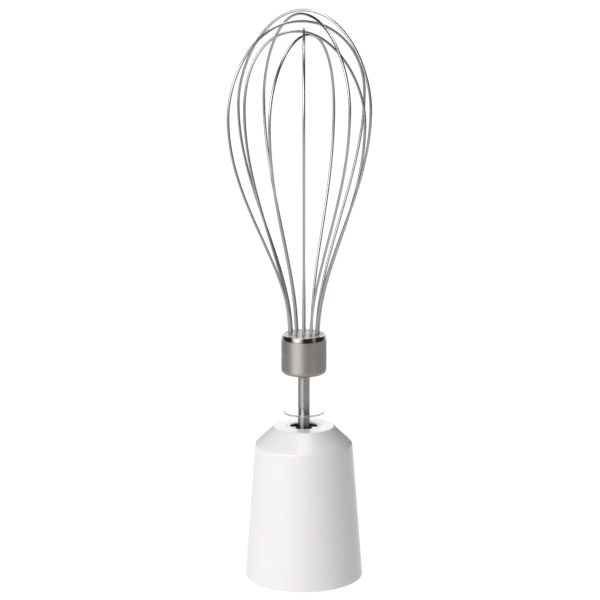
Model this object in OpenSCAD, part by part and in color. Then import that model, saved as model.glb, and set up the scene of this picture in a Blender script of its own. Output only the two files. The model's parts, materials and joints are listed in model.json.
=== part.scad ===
// Whisk attachment of a hand blender. A tapered coupling housing takes the motor's nose
// in its mouth, a planetary reduction inside it slows the drive, and a balloon whisk
// stands in the toothed output socket and lifts out of it.
// Millimetres, +Z up. The origin is the centre of the mouth, on the face it stands on.

/* [Housing] */
// Outer radius at the mouth
mouth_r = 25.1; // [25:0.1:26]
// Outer radius at the shoulder
shoulder_r = 20.6; // [20.6:0.1:21]
// Height of the shoulder
shoulder_z = 58.4; // [58:0.1:59.5]
// Outer radius of the flat top
top_r = 12.6; // [12.2:0.1:13.4]
// Height of the flat top
top_z = 66; // [66:0.1:66.8]
// Wall thickness
wall = 2; // [1.8:0.1:2.1]
// Thickness of the flat top
top_wall = 2.2; // [2:0.1:2.4]

/* [Motor mouth] */
// Radius of the bore that takes the motor's nose
nose_bore_r = 19; // [18:0.1:19.2]
// Depth of that bore
nose_bore_len = 25; // [22:0.5:25]
// Outer radius of the collar's tube
collar_r = 20.6; // [20.4:0.1:20.8]
// Width of one bayonet slot, in degrees
slot_angle = 10; // [8:1:11]
// How far the bayonet slot runs round, in degrees
slot_run = 24; // [18:1:25]

/* [Gears] */
// Gear module
gear_module = 0.55; // [0.5:0.01:0.55]
// Teeth on the sun gear
sun_teeth = 9; // [9]
// Teeth on each planet gear
planet_teeth = 21; // [21]
// Pressure angle
pressure_angle = 25; // [24:0.5:26]
// How much each tooth is thinned for backlash
backlash = 0.06; // [0.05:0.01:0.08]
// Width of the gear faces
gear_face = 7.4; // [7:0.1:7.4]
// Outer radius of the ring gear
ring_r = 15.4; // [15.4:0.05:15.4]
// Radius of the planet pins
pin_r = 1.5; // [1.3:0.1:1.6]

/* [Gear case] */
// Height of the underside of the case plate
case_z = 31.5; // [31.5:0.1:31.9]
// Radius of the case flange and plate
flange_r = 20.2; // [20:0.1:20.2]
// Thickness of the plate, and of the flange
flange_t = 2; // [1.8:0.1:2]
// Outer radius of the gear case
case_r = 16.7; // [16.5:0.1:16.7]
// Circle that the case screws stand on
screw_circle_r = 18.5; // [18.5:0.1:18.6]
// Radius of a case screw
screw_r = 0.9; // [0.8:0.05:0.9]

/* [Input] */
// Width across the flats of the hexagonal drive socket
hex_flats = 6; // [5.5:0.1:6.2]
// Depth of the hexagonal drive socket
hex_depth = 7.4; // [6.5:0.1:7.5]
// Radius of the coupling's journal
input_r = 5; // [4.8:0.1:5]

/* [Output] */
// Radius of the hub that turns in the flat top
hub_r = 7; // [6.8:0.1:7]
// Radius of the toothed socket
socket_r = 5.85; // [5.7:0.05:5.85]
// Radius that the drive teeth reach in to
tooth_tip_r = 3.85; // [3.7:0.05:4]
// Height of the socket's floor
socket_z = 55.5; // [55.5:0.1:56.5]

/* [Whisk] */
// Radius of the shaft
shaft_r = 2.5; // [2.3:0.05:2.5]
// Height of the clear drip disc
disc_z = 72.1; // [71:0.1:74]
// Radius of the drip disc
disc_r = 8.6; // [8:0.1:10]
// Height of the ferrule's underside
ferrule_z = 88.9; // [86:0.1:92]
// Radius of the ferrule
ferrule_r = 9.55; // [9.4:0.05:10]
// Height of the ferrule
ferrule_h = 17; // [16.5:0.1:18.5]
// Radius of one wire
wire_r = 0.55; // [0.5:0.05:0.65]
// Radius of the circle that the wires enter the plug on
wire_circle_r = 6.1; // [5.8:0.1:6.6]
// Height of the top wire above the foot of the balloon
balloon_h = 137.5; // [132:0.5:142]

/* [Hidden] */
$fn = 96;

white = "#f1f0ee";
dark = "#2c2c2e";
steel = "#a9a7a4";
acetal = "#d9d7cf";

// Clearances
run = 0.05;          // a shaft turning or sliding in its hole
cut = 0.01;          // how far a cutter runs past the face it cuts
gap = 0.3;           // faces that pass each other
corner_steps = 6;    // straight steps in a rounded corner

// Gear case, measured up from the plate
flange_z = case_z + flange_t;
flange_top = flange_z + flange_t;
ring_z = flange_top + 0.5;
gear_z = ring_z + 1;
gear_top = gear_z + gear_face;
ring_top = gear_top + 1.2;
case_bore_r = ring_r + 0.02;
plate_rim_r = case_bore_r - 0.1;
carrier_z = gear_top + 0.4;
carrier_t = 3.4;
carrier_top = carrier_z + carrier_t;
carrier_r = 11.6;
case_roof = carrier_top + 0.4;
case_roof_t = 2;
neck_r = 10.2;
neck_top = top_z - top_wall - 0.2;
bush_wall = 1.55;
hub_hole_r = hub_r + run + 0.03;
hub_bore_r = hub_r + run + bush_wall;
seal_t = 2.3;
boss_r = 1.7;
boss_top = 55;

// Screws
screw_head_r = 1.7;
screw_head_t = 1.2;
screw_hole_r = screw_r + 0.15;
screw_grip = 8.5;
screw_angles = [30, 150, 270];

// Input
coupling_z = 26;
coupling_flange_r = 6.4;
coupling_flange_t = 2.4;
coupling_top = gear_z - 0.4;
input_bush_r = input_r + run + bush_wall;
input_bush_z = coupling_z + coupling_flange_t + 0.2;
bush_lip_t = 0.6;
bush_lip_r = input_bush_r + 0.8;
plate_boss_r = input_bush_r + 1.6;
spindle_r = 1.1;
clip_t = 0.7;
clip_z = flange_z + bush_lip_t + 0.1;
clip_groove_r = input_r - 0.4;
clip_r = input_r + 1.1;

// Gears
ring_teeth = sun_teeth + 2 * planet_teeth;
pin_circle_r = gear_module * (sun_teeth + planet_teeth) / 2;
addendum = 0.8 * gear_module;
dedendum = 1.05 * gear_module;
tooth_width = PI * gear_module / 2;
flank_steps = 3;
planet_angles = [0, 120, 240];
pin_foot = 1;
pin_groove_depth = 0.35;
pin_clip_t = 0.4;
pin_clip_r = 2.3;

// Output
cap_t = 0.6;
cap_z = top_z - cap_t;
socket_tooth_angles = [90, 210, 330];
tooth_nose_r = 0.5;
tooth_base_half = 1.25;
key_clearance = 0.25;
key_z = socket_z + 0.1;
key_h = 6;
tail_z = 50.2;
tail_bore_z = 49.8;
grip_wire_r = 0.58;
grip_z = 53;

// Whisk
plug_r = ferrule_r - 0.8;
ferrule_floor = 1.4;
plug_z = ferrule_z + ferrule_floor;
plug_top = ferrule_z + ferrule_h - 0.05;
balloon_z = plug_top - 1.35;
bevel_h = 2.1;
bevel_in = 0.35;
ferrule_corner = 2;
shaft_top = plug_z + 6;
wire_hole_depth = 12.2;
wire_end_z = plug_top - wire_hole_depth + 0.5;
disc_t = 0.8;
disc_hub_half = 2.1;
disc_hub_r = 2.42;
groove_foot_r = 2.1;
groove_top_r = 1.85;
loop_count = 6;
plug_turn = -2.3;    // degrees that the plug's holes stand round from the balloon
settle_h = 32;       // height over which the wires lose that turn
tube_sides = 8;
leg_steps = 22;
crown_steps = 10;

// The bend that the loops share: how long the pull is at each end of the leg and crown
leg_rise = 30.5;
belly_pull = 36.5;
crown_rise = 17;
crown_flat = 0.61;

// Each loop as it is bent by hand. Its turn away from even spacing (degrees), half width,
// lean to its first side, height of its widest point above the balloon's foot, tilt of
// that point from one side to the other, drop below the top of the balloon, and shift of
// its own top.
LOOPS = [
    [0, 30, 0, 95, 0, 7.3, 0],
    [0, 35.4, 1.4, 98.5, 1.2, 1.6, 0],
    [8, 29.5, 0, 97, 0.4, 0, 0.5],
    [4, 25, 0.4, 93.2, -2.8, 8.7, -2.8],
    [-8, 30.3, -3.1, 98, 4.4, 4.5, -2.4],
    [0, 26.6, -1.2, 93.7, 0.7, 10.4, 2.3]
];

// ---- outlines ----

function unit(v) = v / norm(v);

// Points of a corner at b between a and c, rounded to radius b[2]
function corner(a, b, c) =
    b[2] == 0 ? [[b[0], b[1]]] :
    let (p = [b[0], b[1]])
    let (to_a = unit([a[0], a[1]] - p))
    let (to_c = unit([c[0], c[1]] - p))
    let (half = acos(to_a * to_c) / 2)
    let (centre = p + unit(to_a + to_c) * b[2] / sin(half))
    let (from = p + to_a * b[2] / tan(half) - centre)
    let (till = p + to_c * b[2] / tan(half) - centre)
    let (start = atan2(from[1], from[0]))
    let (turn = atan2(from[0] * till[1] - from[1] * till[0], from * till))
    [for (i = [0 : corner_steps]) let (a = start + turn * i / corner_steps)
        centre + b[2] * [cos(a), sin(a)]];

// A closed outline from [x, y, corner radius] points
function rounded(points) = let (n = len(points))
    [for (i = [0 : n - 1])
        for (p = corner(points[(i + n - 1) % n], points[i], points[(i + 1) % n])) p];

module turned(points) {
    rotate_extrude()
        polygon(rounded(points));
}

module ring(inner, outer, z, height) {
    translate([0, 0, z])
        difference() {
            cylinder(r = outer, h = height);
            translate([0, 0, -cut])
                cylinder(r = inner, h = height + 2 * cut);
        }
}

module around(angles, radius) {
    for (a = angles)
        rotate([0, 0, a])
            translate([radius, 0, 0])
                children();
}

// Half the angle of a tooth at radius r, on an involute flank
function involute(a) = tan(a) * 180 / PI - a;
function half_tooth(teeth, width, r) =
    let (pitch_r = gear_module * teeth / 2)
    let (at = acos(min(1, pitch_r * cos(pressure_angle) / r)))
    width / (2 * pitch_r) * 180 / PI + involute(pressure_angle) - involute(at);

// Tooth outline of a whole gear, with one tooth on +X
function gear_points(teeth, inner, outer, width) =
    [for (k = [0 : teeth - 1], side = [-1, 1], i = [0 : flank_steps])
        let (f = side < 0 ? i / flank_steps : 1 - i / flank_steps)
        let (r = inner + (outer - inner) * f)
        let (a = 360 * k / teeth + side * half_tooth(teeth, width, r))
        r * [cos(a), sin(a)]];

module spur(teeth, bore_r) {
    pitch_r = gear_module * teeth / 2;
    points = gear_points(teeth, pitch_r - dedendum, pitch_r + addendum, tooth_width - backlash);
    translate([0, 0, gear_z])
        difference() {
            linear_extrude(gear_face)
                polygon(points);
            translate([0, 0, -cut])
                cylinder(r = bore_r, h = gear_face + 2 * cut);
        }
}

// Outline of the output socket: a circle with drive teeth standing in from it
module socket_outline(radius, grow) {
    nose = tooth_nose_r + grow;
    difference() {
        circle(r = radius);
        around(socket_tooth_angles, 0) {
            translate([tooth_tip_r + tooth_nose_r, 0])
                circle(r = nose);
            polygon([
                [tooth_tip_r + tooth_nose_r, -nose], [radius + 1, -tooth_base_half - grow],
                [radius + 1, tooth_base_half + grow], [tooth_tip_r + tooth_nose_r, nose]
            ]);
        }
    }
}

// ---- housing ----

function outer_r(z) = mouth_r + (shoulder_r - mouth_r) * z / shoulder_z;

module housing_shell() {
    color(white)
        difference() {
            union() {
                turned([
                    [mouth_r - wall, 0, 0.4], [mouth_r, 0, 0.8],
                    [shoulder_r, shoulder_z, 1.4], [top_r, top_z, 0.9],
                    [hub_hole_r, top_z, 0], [hub_hole_r, top_z - top_wall, 0],
                    [top_r - 1.2, top_z - top_wall, 0.6],
                    [shoulder_r - wall, shoulder_z - 0.9, 0.6]
                ]);
                around(screw_angles, screw_circle_r)
                    translate([0, 0, flange_top])
                        cylinder(r = boss_r, h = boss_top - flange_top);
            }
            around(screw_angles, screw_circle_r)
                translate([0, 0, flange_top - cut])
                    cylinder(r = screw_r, h = screw_grip + cut);
        }
}

// One bayonet slot of the collar: straight in from the mouth, then round
module bayonet_slot() {
    depth = 1.1;
    width = 3;
    stop_z = 12;
    lead = 0.3;
    rotate([0, 0, -slot_angle / 2])
        rotate_extrude(angle = slot_angle)
            translate([nose_bore_r - lead, -cut])
                square([depth + lead, stop_z + cut]);
    rotate([0, 0, -slot_angle / 2])
        rotate_extrude(angle = slot_run)
            translate([nose_bore_r - lead, stop_z - width])
                square([depth + lead, width]);
}

module mouth_collar() {
    lip_h = 2.5;
    lip_gap = 0.1;
    color(white)
        difference() {
            turned([
                [nose_bore_r, 0, 0], [outer_r(0) - wall - lip_gap, 0, 0.4],
                [outer_r(lip_h) - wall - lip_gap, lip_h, 0.3], [collar_r, lip_h, 0.5],
                [collar_r, nose_bore_len - lip_h, 0.3],
                [outer_r(nose_bore_len) - wall - lip_gap, nose_bore_len - lip_h, 0.3],
                [outer_r(nose_bore_len) - wall - lip_gap, nose_bore_len, 0.3],
                [nose_bore_r, nose_bore_len, 0]
            ]);
            around([90, 210, 330], 0)
                bayonet_slot();
        }
}

module gear_case() {
    color(dark)
        difference() {
            turned([
                [case_bore_r, flange_z, 0], [flange_r, flange_z, 0.3],
                [flange_r, flange_top, 0.3], [case_r, flange_top, 0],
                [case_r, case_roof + case_roof_t, 1], [neck_r, case_roof + case_roof_t, 0.8],
                [neck_r, neck_top, 0.3], [hub_bore_r, neck_top, 0], [hub_bore_r, case_roof, 0],
                [case_bore_r - 1.2, case_roof, 0.6], [case_bore_r - 1.2, ring_top, 0],
                [case_bore_r, ring_top, 0]
            ]);
            around(screw_angles, screw_circle_r)
                translate([0, 0, flange_z - cut])
                    cylinder(r = screw_hole_r, h = flange_t + 2 * cut);
        }
}

module case_plate() {
    color(dark)
        difference() {
            turned([
                [input_bush_r, input_bush_z, 0], [plate_boss_r, input_bush_z, 0.5],
                [plate_boss_r, case_z, 0.5], [flange_r, case_z, 0.3], [flange_r, flange_z, 0],
                [plate_rim_r, flange_z, 0], [plate_rim_r, ring_z, 0.2],
                [plate_rim_r - 1.7, ring_z, 0.2], [plate_rim_r - 1.7, flange_z, 0.4],
                [input_bush_r, flange_z, 0]
            ]);
            around(screw_angles, screw_circle_r)
                translate([0, 0, case_z - cut])
                    cylinder(r = screw_hole_r, h = flange_t + 2 * cut);
        }
}

module ring_gear() {
    pitch_r = gear_module * ring_teeth / 2;
    spaces = gear_points(ring_teeth, pitch_r - addendum, pitch_r + dedendum,
                         tooth_width + backlash);
    height = ring_top - ring_z;
    color(acetal)
        translate([0, 0, ring_z])
            difference() {
                cylinder(r = ring_r, h = height);
                translate([0, 0, -cut])
                    linear_extrude(height + 2 * cut)
                        polygon(spaces);
            }
}

module input_bush() {
    color("#b08d57")
        turned([
            [input_r + run, input_bush_z, 0], [input_bush_r, input_bush_z, 0],
            [input_bush_r, flange_z, 0], [bush_lip_r, flange_z, 0],
            [bush_lip_r, flange_z + bush_lip_t, 0.2], [input_r + run, flange_z + bush_lip_t, 0]
        ]);
}

module output_bush() {
    color("#b08d57")
        ring(hub_r + run, hub_bore_r, case_roof, neck_top - seal_t - case_roof);
}

module hub_seal() {
    lip = 0.5;
    color("#3a3a3c")
        turned([
            [hub_r + run, neck_top - seal_t, 0], [hub_bore_r, neck_top - seal_t, 0],
            [hub_bore_r, neck_top, 0], [hub_bore_r - lip, neck_top, 0.1],
            [hub_bore_r - lip, neck_top - seal_t + lip, 0.2],
            [hub_r + run + lip, neck_top - seal_t + lip, 0.2],
            [hub_r + run + lip, neck_top - lip, 0.1], [hub_r + run, neck_top - lip, 0]
        ]);
}

module case_screws() {
    slot_w = 0.45;
    slot_len = 2;
    slot_depth = 0.7;
    length = 2 * flange_t + screw_grip - 0.5;
    color(steel)
        around(screw_angles, screw_circle_r)
            translate([0, 0, case_z])
                difference() {
                    turned([
                        [0, -screw_head_t, 0], [screw_head_r, -screw_head_t, 0.4],
                        [screw_head_r, 0, 0], [screw_r, 0, 0], [screw_r, length - 0.8, 0],
                        [0.2, length, 0], [0, length, 0]
                    ]);
                    for (a = [0, 90])
                        rotate([0, 0, a])
                            translate([-slot_len / 2, -slot_w / 2, -screw_head_t - cut])
                                cube([slot_len, slot_w, slot_depth + cut]);
                }
}

// ---- input ----

module drive_coupling() {
    color(dark)
        difference() {
            turned([
                [0, coupling_z, 0], [coupling_flange_r, coupling_z, 0.6],
                [coupling_flange_r, coupling_z + coupling_flange_t, 0.2],
                [input_r, coupling_z + coupling_flange_t, 0], [input_r, clip_z, 0],
                [clip_groove_r, clip_z, 0], [clip_groove_r, clip_z + clip_t, 0],
                [input_r, clip_z + clip_t, 0], [input_r, coupling_top, 0.3],
                [0, coupling_top, 0]
            ]);
            translate([0, 0, coupling_z - cut])
                cylinder(d = hex_flats / cos(30), h = hex_depth + cut, $fn = 6);
            translate([0, 0, coupling_z + hex_depth - cut])
                cylinder(r = spindle_r, h = coupling_top - coupling_z);
        }
}

module input_spindle() {
    color(steel)
        translate([0, 0, coupling_z + hex_depth])
            cylinder(r = spindle_r, h = gear_top - coupling_z - hex_depth + 0.2);
}

module sun_gear() {
    color("#8f8d89")
        spur(sun_teeth, spindle_r);
}

module input_clip() {
    opening = 40;
    color(steel)
        translate([0, 0, clip_z])
            rotate([0, 0, opening / 2])
                rotate_extrude(angle = 360 - opening)
                    translate([clip_groove_r, 0])
                        square([clip_r - clip_groove_r, clip_t - 0.05]);
}

// ---- carrier ----

module planet_carrier() {
    scallop_r = 4;
    groove_half = 0.65;
    color(dark)
        difference() {
            union() {
                difference() {
                    translate([0, 0, carrier_z])
                        cylinder(r = carrier_r, h = carrier_t);
                    around([60, 180, 300], carrier_r + 1.2)
                        translate([0, 0, carrier_z - cut])
                            cylinder(r = scallop_r, h = carrier_t + 2 * cut);
                }
                translate([0, 0, carrier_top - cut])
                    cylinder(r = hub_r, h = cap_z - carrier_top + cut);
            }
            around(planet_angles, pin_circle_r)
                translate([0, 0, carrier_z - cut])
                    cylinder(r = pin_r, h = carrier_t + 2 * cut);
            translate([0, 0, tail_bore_z])
                cylinder(r = shaft_r + run, h = cap_z - tail_bore_z);
            translate([0, 0, grip_z - groove_half])
                cylinder(r = shaft_r + run + 2 * grip_wire_r + 0.05, h = 2 * groove_half);
            translate([0, 0, socket_z])
                linear_extrude(cap_z - socket_z + cut)
                    socket_outline(socket_r, 0);
        }
}

module planet_pins() {
    groove_z = gear_z - 0.3 - pin_clip_t;
    foot_z = gear_z - pin_foot;
    color(steel)
        around(planet_angles, pin_circle_r)
            turned([
                [0, foot_z, 0], [pin_r, foot_z, 0.2], [pin_r, groove_z, 0],
                [pin_r - pin_groove_depth, groove_z, 0],
                [pin_r - pin_groove_depth, groove_z + pin_clip_t, 0],
                [pin_r, groove_z + pin_clip_t, 0], [pin_r, carrier_top, 0], [0, carrier_top, 0]
            ]);
}

module pin_clips() {
    opening = 80;
    color("#6f6d6a")
        around(planet_angles, pin_circle_r)
            translate([0, 0, gear_z - 0.3 - pin_clip_t])
                rotate([0, 0, opening / 2])
                    rotate_extrude(angle = 360 - opening)
                        translate([pin_r - pin_groove_depth, 0])
                            square([pin_clip_r - pin_r + pin_groove_depth, pin_clip_t]);
}

module hub_cap() {
    color(white)
        difference() {
            turned([[0, cap_z, 0], [hub_r, cap_z, 0], [hub_r, top_z, 0.25], [0, top_z, 0]]);
            translate([0, 0, cap_z - cut])
                linear_extrude(cap_t + 2 * cut)
                    socket_outline(socket_r, 0);
        }
}

module grip_ring() {
    color("#202022")
        translate([0, 0, grip_z])
            rotate_extrude()
                translate([shaft_r + run + grip_wire_r, 0])
                    circle(r = grip_wire_r, $fn = 32);
}

module planet_gear(angle) {
    color(acetal)
        rotate([0, 0, angle])
            translate([pin_circle_r, 0, 0])
                spur(planet_teeth, pin_r + run);
}

module planet_gear_1() {
    planet_gear(planet_angles[0]);
}

module planet_gear_2() {
    planet_gear(planet_angles[1]);
}

module planet_gear_3() {
    planet_gear(planet_angles[2]);
}

// ---- whisk ----

// Radius at height z of the groove that the disc's hub fills
function groove_r(z) = groove_foot_r
    + (groove_top_r - groove_foot_r) * (z - disc_z + disc_hub_half) / (2 * disc_hub_half);

module whisk_shaft() {
    groove_bottom = disc_z - disc_hub_half;
    groove_top = disc_z + disc_hub_half;
    color(steel)
        turned([
            [0, tail_z, 0], [shaft_r, tail_z, 0.5], [shaft_r, groove_bottom, 0],
            [groove_foot_r, groove_bottom, 0], [groove_top_r, groove_top, 0],
            [shaft_r, groove_top, 0], [shaft_r, shaft_top, 0.3], [0, shaft_top, 0]
        ]);
}

module drive_key() {
    key_r = socket_r - key_clearance;
    color("#55534f")
        difference() {
            turned([
                [shaft_r, key_z, 0], [key_r, key_z, 0.6], [key_r, key_z + key_h, 0.6],
                [shaft_r, key_z + key_h, 0]
            ]);
            translate([0, 0, key_z - cut])
                linear_extrude(key_h + 2 * cut)
                    difference() {
                        circle(r = key_r + 1);
                        socket_outline(key_r + 0.5, key_clearance);
                    }
        }
}

module drip_disc() {
    hub_top = disc_z + disc_hub_half - 0.05;
    hub_bottom = disc_z - disc_hub_half + 0.05;
    color("#dfe6e8", 0.35)
        turned([
            [groove_r(hub_bottom), hub_bottom, 0], [disc_hub_r, hub_bottom, 0.1],
            [disc_hub_r, disc_z - disc_t / 2, 0.15], [disc_r, disc_z - disc_t / 2, 0.15],
            [disc_r, disc_z + disc_t / 2, 0.15], [disc_hub_r, disc_z + disc_t / 2, 0.15],
            [disc_hub_r, hub_top, 0.1], [groove_r(hub_top), hub_top, 0]
        ]);
}

module ferrule() {
    rim_z = ferrule_z + ferrule_h;
    rim_r = plug_r + 0.05;
    color(steel)
        turned([
            [shaft_r, ferrule_z, 0], [ferrule_r, ferrule_z, ferrule_corner],
            [ferrule_r, rim_z - bevel_h, 0.3], [ferrule_r - bevel_in, rim_z, 0.2],
            [rim_r, rim_z, 0.1], [rim_r, plug_z, 0.3], [shaft_r, plug_z, 0]
        ]);
}

module wire_plug() {
    color(white)
        difference() {
            turned([
                [0, plug_z, 0], [plug_r, plug_z, 0.4], [plug_r, plug_top, 0.3],
                [0, plug_top, 0]
            ]);
            translate([0, 0, plug_z - cut])
                cylinder(r = shaft_r, h = shaft_top - plug_z + cut);
            around([for (k = [0 : 2 * loop_count - 1]) k * 180 / loop_count + plug_turn],
                   wire_circle_r)
                translate([0, 0, plug_top - wire_hole_depth])
                    cylinder(r = wire_r + 0.05, h = wire_hole_depth + cut);
        }
}

// Cubic curve through p[0] and p[3], pulled towards p[1] and p[2]
function cubic(p, t) = pow(1 - t, 3) * p[0] + 3 * pow(1 - t, 2) * t * p[1]
    + 3 * (1 - t) * t * t * p[2] + pow(t, 3) * p[3];

// One side of a loop, from inside the plug to its top, as [distance from the axis, height]
function loop_side(loop, side) =
    let (width = loop[1] + side * loop[2])
    let (belly_z = balloon_z + loop[3] + side * loop[4])
    let (top = [side * loop[6], balloon_z + balloon_h - loop[5]])
    let (foot = [wire_circle_r, balloon_z])
    let (belly = [width, belly_z])
    let (leg = [foot, foot + [0, leg_rise], belly - [0, belly_pull], belly])
    let (crown = [belly, belly + [0, crown_rise], top + [crown_flat * width, 0], top])
    concat(
        [[wire_circle_r, wire_end_z]],
        [for (i = [0 : leg_steps - 1]) cubic(leg, i / leg_steps)],
        [for (i = [0 : crown_steps]) cubic(crown, i / crown_steps)]
    );

// How far height z is up a rise of that height from the balloon's foot, eased at both ends
function eased(z, rise) = let (f = max(0, min(1, (z - balloon_z) / rise))) f * f * (3 - 2 * f);

// Direction that a loop's plane has at height z, counted from the front
function loop_angle(index, z) = 180 / loop_count * index
    + LOOPS[index][0] * eased(z, LOOPS[index][3]) + plug_turn * (1 - eased(z, settle_h));

function loop_point(index, side, p) =
    let (a = loop_angle(index, p[1]))
    [side * p[0] * sin(a), -side * p[0] * cos(a), p[1]];

// The whole loop, up one side and down the other
function loop_path(index) =
    let (first = loop_side(LOOPS[index], 1))
    let (second = loop_side(LOOPS[index], -1))
    let (n = len(first))
    concat(
        [for (p = first) loop_point(index, 1, p)],
        [for (i = [n - 2 : -1 : 0]) loop_point(index, -1, second[i])]
    );

function direction(path, i) =
    unit(path[min(i + 1, len(path) - 1)] - path[max(i - 1, 0)]);

// A round wire along a path whose plane stands across the direction `across`
module wire(path, across) {
    n = len(path);
    points = [for (i = [0 : n - 1])
        let (t = direction(path, i))
        let (u = unit(across - (across * t) * t))
        let (v = cross(t, u))
        for (k = [0 : tube_sides - 1])
            let (a = 360 * (k + 0.5) / tube_sides)
            path[i] + wire_r * (cos(a) * u + sin(a) * v)];
    walls = [for (i = [0 : n - 2], k = [0 : tube_sides - 1])
        let (a = i * tube_sides + k)
        let (b = i * tube_sides + (k + 1) % tube_sides)
        each [[a, a + tube_sides, b], [b, a + tube_sides, b + tube_sides]]];
    first_end = [[for (k = [0 : tube_sides - 1]) k]];
    last_end = [[for (k = [tube_sides - 1 : -1 : 0]) (n - 1) * tube_sides + k]];
    polyhedron(points, concat(walls, first_end, last_end));
}

module wire_loop(index) {
    a = 180 / loop_count * index + LOOPS[index][0];
    color(steel)
        wire(loop_path(index), [cos(a), sin(a), 0]);
}

module wire_loop_1() {
    wire_loop(0);
}

module wire_loop_2() {
    wire_loop(1);
}

module wire_loop_3() {
    wire_loop(2);
}

module wire_loop_4() {
    wire_loop(3);
}

module wire_loop_5() {
    wire_loop(4);
}

module wire_loop_6() {
    wire_loop(5);
}

housing_shell();
mouth_collar();
gear_case();
case_plate();
ring_gear();
input_bush();
output_bush();
hub_seal();
case_screws();
drive_coupling();
input_spindle();
sun_gear();
input_clip();
planet_carrier();
planet_pins();
pin_clips();
hub_cap();
grip_ring();
planet_gear_1();
planet_gear_2();
planet_gear_3();
whisk_shaft();
drive_key();
drip_disc();
ferrule();
wire_plug();
wire_loop_1();
wire_loop_2();
wire_loop_3();
wire_loop_4();
wire_loop_5();
wire_loop_6();
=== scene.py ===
import json
import math

import bmesh
import bpy
from bpy.props import FloatProperty, FloatVectorProperty, IntProperty, PointerProperty
from mathutils import Matrix, Vector


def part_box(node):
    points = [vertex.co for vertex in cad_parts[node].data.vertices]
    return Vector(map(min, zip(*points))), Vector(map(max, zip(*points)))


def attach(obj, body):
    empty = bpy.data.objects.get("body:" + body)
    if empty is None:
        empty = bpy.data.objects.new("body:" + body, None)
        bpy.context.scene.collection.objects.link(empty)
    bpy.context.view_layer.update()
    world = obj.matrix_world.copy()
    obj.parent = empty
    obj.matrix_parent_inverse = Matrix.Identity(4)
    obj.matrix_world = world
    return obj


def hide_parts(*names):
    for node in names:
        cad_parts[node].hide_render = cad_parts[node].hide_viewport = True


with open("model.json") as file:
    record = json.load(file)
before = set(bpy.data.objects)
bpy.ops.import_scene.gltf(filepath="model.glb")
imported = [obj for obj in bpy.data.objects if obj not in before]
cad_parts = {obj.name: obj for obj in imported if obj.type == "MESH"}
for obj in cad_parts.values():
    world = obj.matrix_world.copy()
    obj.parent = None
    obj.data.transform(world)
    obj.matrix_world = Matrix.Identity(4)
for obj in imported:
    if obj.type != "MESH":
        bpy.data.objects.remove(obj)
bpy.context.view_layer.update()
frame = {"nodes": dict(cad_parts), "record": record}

bl_info = {
    "name": "Hand Blender Whisk Attachment",
    "version": (1, 0, 0),
    "blender": (4, 5, 0),
    "location": "3D View > Sidebar > Whisk",
    "description": "Builds the outer pieces, finishes and stage of a whisk attachment",
    "category": "Object",
}

MM = 0.001


# ---------------------------------------------------------------- sizes from the frame

def top_of(node):
    """Height of a CAD node's highest point, in millimetres."""
    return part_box(node)[1].z / MM


def foot_of(node):
    """Height of a CAD node's lowest point, in millimetres."""
    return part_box(node)[0].z / MM


def radius_of(node):
    """Radius of a round CAD node about the drive axis, in millimetres."""
    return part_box(node)[1].x / MM


def linear(hex_colour):
    """An sRGB hex colour as linear red, green and blue."""
    parts = [int(hex_colour[i:i + 2], 16) / 255 for i in (1, 3, 5)]
    return tuple(p / 12.92 if p <= 0.04045 else ((p + 0.055) / 1.055) ** 2.4 for p in parts)


def length(name, description, millimetres):
    """A length property whose default is given in millimetres."""
    return FloatProperty(
        name=name, description=description, default=millimetres * MM,
        min=0, unit="LENGTH", precision=5,
    )


def colour(name, description, hex_colour):
    """A colour property whose default is an sRGB hex value."""
    return FloatVectorProperty(
        name=name, description=description, default=linear(hex_colour),
        size=3, min=0, max=1, subtype="COLOR",
    )


class WhiskHousingSizes(bpy.types.PropertyGroup):
    """Sizes of the coupling housing."""

    mouth_radius: length("Mouth radius", "Outer radius of the mouth", 25.1)
    shoulder_radius: length("Shoulder radius", "Outer radius where the taper ends", 20.6)
    shoulder_height: length("Shoulder height", "Height where the taper ends", 58.4)
    top_radius: length("Top radius", "Outer radius of the flat top", 12.6)
    wall: length("Wall", "Wall thickness", 2.0)
    top_wall: length("Top wall", "Thickness of the flat top", 2.2)
    hub_gap: length("Hub gap", "Gap between the turning hub and the flat top", 0.08)


class WhiskSocketSizes(bpy.types.PropertyGroup):
    """Sizes of the toothed output socket."""

    socket_radius: length("Socket radius", "Radius of the socket between its teeth", 5.85)
    tooth_tip: length("Tooth tip", "Radius that the teeth reach in to", 3.85)
    tooth_nose: length("Tooth nose", "Radius of the rounded nose of a tooth", 0.5)
    tooth_base: length("Tooth base", "Half the width of a tooth at its root", 1.25)
    edge: length("Edge", "Rounding of the socket's upper edge", 0.22)


class WhiskSizes(bpy.types.PropertyGroup):
    """Sizes of the lift-out whisk."""

    shaft_radius: length("Shaft radius", "Radius of the shaft", 2.5)
    groove_top: length("Groove top", "Radius of the disc's groove at its top", 1.85)
    groove_foot: length("Groove foot", "Radius of the disc's groove at its foot", 2.1)
    hub_radius: length("Disc hub", "Outer radius of the clear disc's hub", 2.48)
    disc_radius: length("Disc radius", "Radius of the clear disc", radius_of("drip_disc"))
    disc_web: length("Disc web", "Thickness of the clear disc", 0.8)
    ferrule_radius: length("Ferrule radius", "Radius of the ferrule", radius_of("ferrule"))
    bevel_height: length("Bevel height", "Height of the ferrule's polished bevel", 2.1)
    bevel_inset: length("Bevel inset", "How far the bevel leans in", 0.35)
    ferrule_corner: length("Ferrule corner", "Rounding of the ferrule's foot", 2.0)
    wire_radius: length("Wire radius", "Radius of one wire", 0.55)
    wire_circle: length("Wire circle", "Circle that the wires enter the plug on", 6.1)
    wire_sides: IntProperty(
        name="Wire sides", description="Faces round a wire", default=20, min=8, max=48,
    )


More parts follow.
